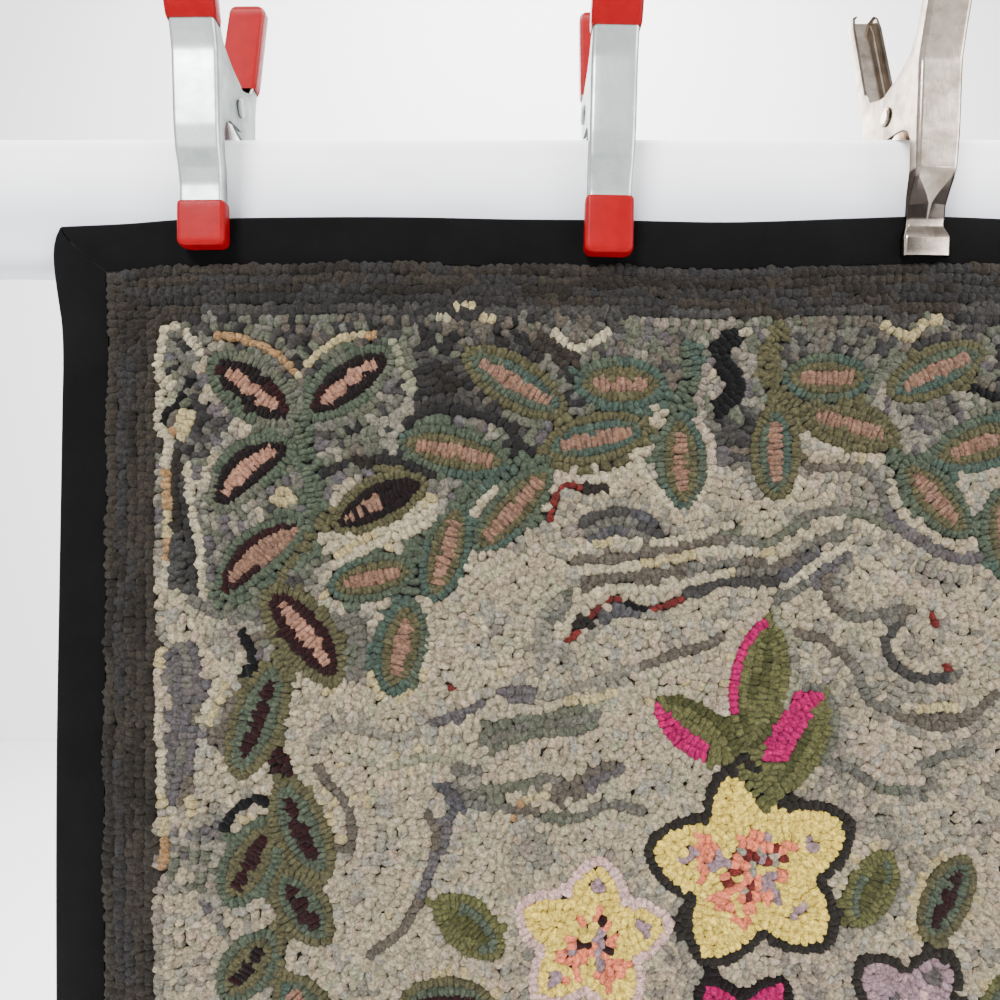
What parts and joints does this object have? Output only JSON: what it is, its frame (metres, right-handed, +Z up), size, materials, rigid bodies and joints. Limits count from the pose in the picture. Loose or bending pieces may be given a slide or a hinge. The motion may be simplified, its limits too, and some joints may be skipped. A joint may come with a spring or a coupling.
{
  "type": "hooked rug hung from a padded rail by spring clamps",
  "caption": "Hand-hooked wool rug with a floral garland and a black cloth binding, hung flat from a white cloth-covered rail by pressed-steel spring clamps.",
  "frame": {"origin": "middle of the rail, half way along it and in the centre of its section", "axes": "+X along the rail to the right as the rug is seen, +Z up, and the rug's face looks along -Y"},
  "size_m": [0.92, 0.1233, 1.1802],
  "materials": {
    "wool_pile": "looped wool strips, matte",
    "binding_cloth": "black cotton tape, matte",
    "white_cloth": "smooth white cotton cover",
    "zinc_steel": "zinc plate, satin",
    "nickel_steel": "bright nickel plate",
    "red_vinyl": "dipped vinyl, satin"
  },
  "bodies": {
    "root": {"hooked_panel": "wool_pile", "binding_top": "binding_cloth", "binding_bottom": "binding_cloth", "binding_left": "binding_cloth", "binding_right": "binding_cloth", "rail": "white_cloth", "clamp_1_front_arm": "zinc_steel", "clamp_1_front_tip": "red_vinyl", "clamp_1_front_grip": "red_vinyl", "clamp_1_back_arm": "zinc_steel", "clamp_1_back_tip": "red_vinyl", "clamp_1_back_grip": "red_vinyl", "clamp_1_pin": "zinc_steel", "clamp_1_spring": "zinc_steel", "clamp_2_front_arm": "zinc_steel", "clamp_2_front_tip": "red_vinyl", "clamp_2_front_grip": "red_vinyl", "clamp_2_back_arm": "zinc_steel", "clamp_2_back_tip": "red_vinyl", "clamp_2_back_grip": "red_vinyl", "clamp_2_pin": "zinc_steel", "clamp_2_spring": "zinc_steel", "clamp_3_front_arm": "nickel_steel", "clamp_3_back_arm": "nickel_steel", "clamp_3_pin": "nickel_steel", "clamp_3_spring": "nickel_steel", "clamp_4_front_arm": "zinc_steel", "clamp_4_front_tip": "red_vinyl", "clamp_4_front_grip": "red_vinyl", "clamp_4_back_arm": "zinc_steel", "clamp_4_back_tip": "red_vinyl", "clamp_4_back_grip": "red_vinyl", "clamp_4_pin": "zinc_steel", "clamp_4_spring": "zinc_steel"}
  },
  "joints": []
}
